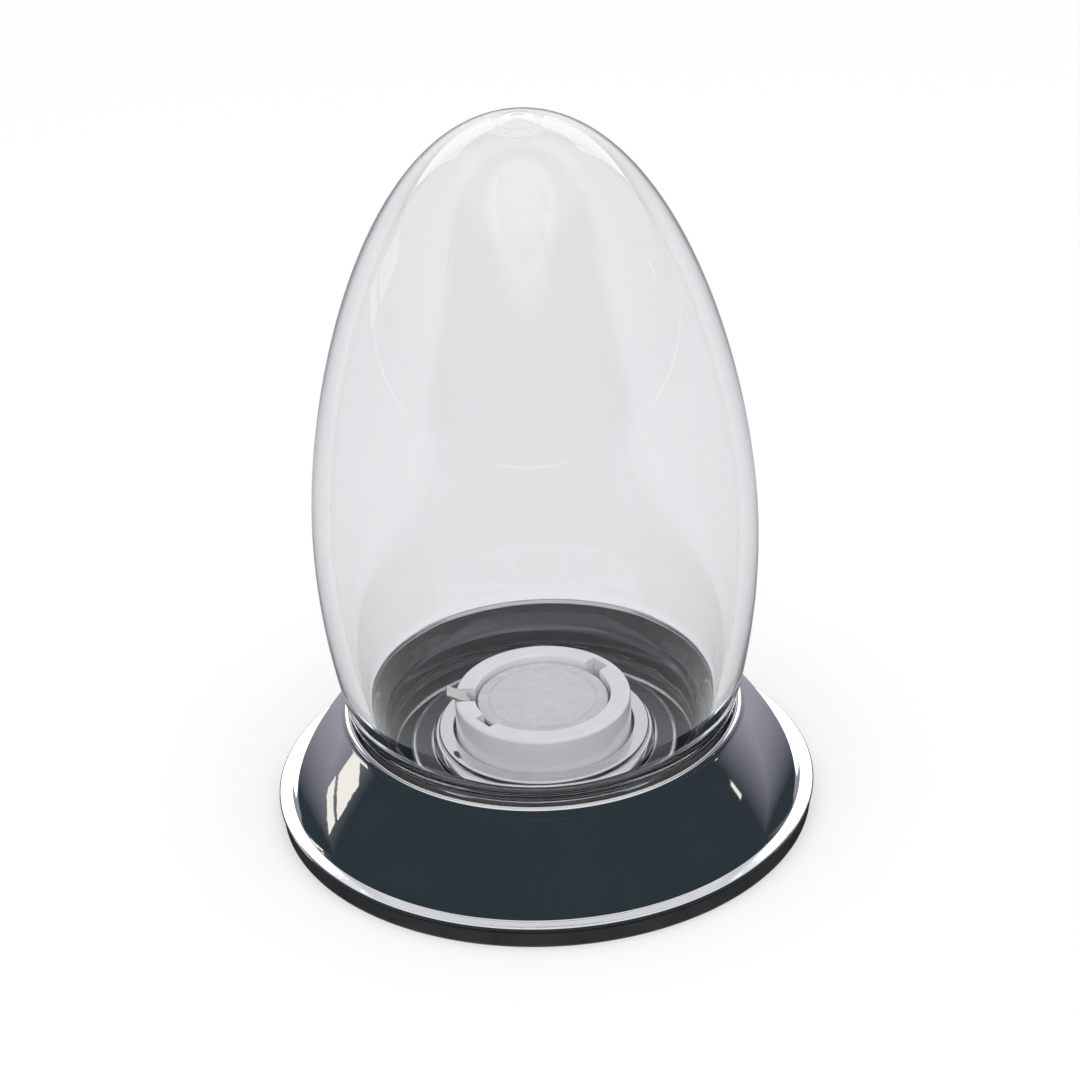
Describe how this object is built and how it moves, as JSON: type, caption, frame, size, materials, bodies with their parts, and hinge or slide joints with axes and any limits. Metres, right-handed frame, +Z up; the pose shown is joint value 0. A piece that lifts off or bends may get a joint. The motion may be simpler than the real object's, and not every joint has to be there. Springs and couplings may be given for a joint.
{
  "type": "navigation light",
  "caption": "Surface-mount all-round boat light: chromed bell base on a rubber gasket, clear screw-in bullet globe, bayonet LED lamp in a sprung holder.",
  "frame": {"origin": "centre of the gasket's underside, on the light's axis", "axes": "+Z up along the light's axis towards the globe's crown; -Y towards the front view; +X to that view's right"},
  "size_m": [0.06, 0.06, 0.0863],
  "materials": {
    "chrome": "bright chromium plate on a die-cast body",
    "clear_globe": "clear polished moulding",
    "black_rubber": "matte black elastomer",
    "white_moulding": "pale moulded insulating plastic, half gloss",
    "black_moulding": "black moulded insulating plastic",
    "brass": "bright brass",
    "nickel": "nickel plate on brass",
    "stainless": "stainless steel",
    "board": "white solder-masked circuit board",
    "phosphor": "yellow LED phosphor",
    "frosted_lens": "frosted translucent moulding"
  },
  "bodies": {
    "base": {"base_housing": "chrome", "base_gasket": "black_rubber", "lamp_drum": "chrome", "holder_ring": "chrome", "holder_body": "white_moulding", "holder_base": "black_moulding", "base_screw_1": "stainless", "base_screw_2": "stainless", "live_tag": "brass", "return_strip": "nickel", "contact_spring": "stainless"},
    "seal": {"globe_seal": "black_rubber"},
    "globe": {"globe": "clear_globe"},
    "contact": {"contact_plunger": "brass"},
    "lamp": {"lamp_shell": "nickel", "lamp_pin_1": "nickel", "lamp_pin_2": "nickel", "lamp_insulator": "black_moulding", "lamp_contact": "brass", "led_board": "board", "led_chip_1": "phosphor", "led_chip_2": "phosphor", "led_chip_3": "phosphor", "lamp_lens": "frosted_lens"}
  },
  "joints": [
    {"name": "globe_rise", "type": "slide", "parent": "base", "child": "seal", "axis": [0, 0, 1], "range_m": [0, 0.006]},
    {"name": "globe_turn", "type": "hinge", "parent": "seal", "child": "globe", "pos_m": [0, 0, 0.0095], "axis": [0, 0, 1], "range_deg": [0, 720]},
    {"name": "contact_travel", "type": "slide", "parent": "base", "child": "contact", "axis": [0, 0, 1], "range_m": [-0.0008, 0], "stiffness_N_per_m": 900, "springref_m": 0.004, "deforming": ["contact_spring"]},
    {"name": "lamp_turn", "type": "hinge", "parent": "contact", "child": "lamp", "pos_m": [0, 0, 0.0089], "axis": [0, 0, 1], "range_deg": [0, 25]}
  ],
  "couplings": [
    {"joint": "globe_rise", "follows": "globe_turn", "m_per_rad": 0.0004774}
  ]
}
